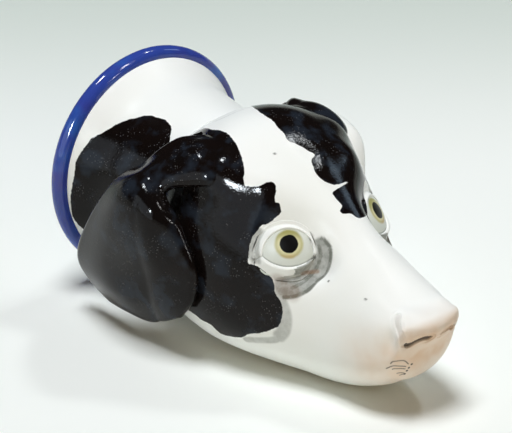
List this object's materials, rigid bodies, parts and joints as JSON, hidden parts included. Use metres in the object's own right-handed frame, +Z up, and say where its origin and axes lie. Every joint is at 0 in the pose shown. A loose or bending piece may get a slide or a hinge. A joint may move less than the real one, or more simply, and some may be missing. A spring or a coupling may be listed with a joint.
{
  "type": "stirrup cup",
  "caption": "Glazed porcelain stirrup cup in the form of a hound's head, with a flared collar, a rolled blue rim, hanging ears and set-in eyes, lying on its jaw.",
  "frame": {"origin": "Middle of the cup's bounding box, on the surface that it lies on.", "axes": "+X from the mouth to the nose, +Y to the hound's left, +Z up. The rim's axis is along X."},
  "size_m": [0.127, 0.0812, 0.068],
  "materials": {
    "white_glaze": "clear glaze over white porcelain",
    "blue_glaze": "cobalt blue under clear glaze",
    "black_glaze": "black enamel under clear glaze",
    "eye_glaze": "painted eye under clear glaze"
  },
  "bodies": {
    "root": {"head_shell": "white_glaze", "neck_collar": "white_glaze", "rim_bead": "blue_glaze", "right_ear": "black_glaze", "left_ear": "black_glaze", "right_eyeball": "eye_glaze", "left_eyeball": "eye_glaze", "right_upper_lid": "white_glaze", "left_upper_lid": "white_glaze", "right_lower_lid": "white_glaze", "left_lower_lid": "white_glaze"}
  },
  "joints": []
}
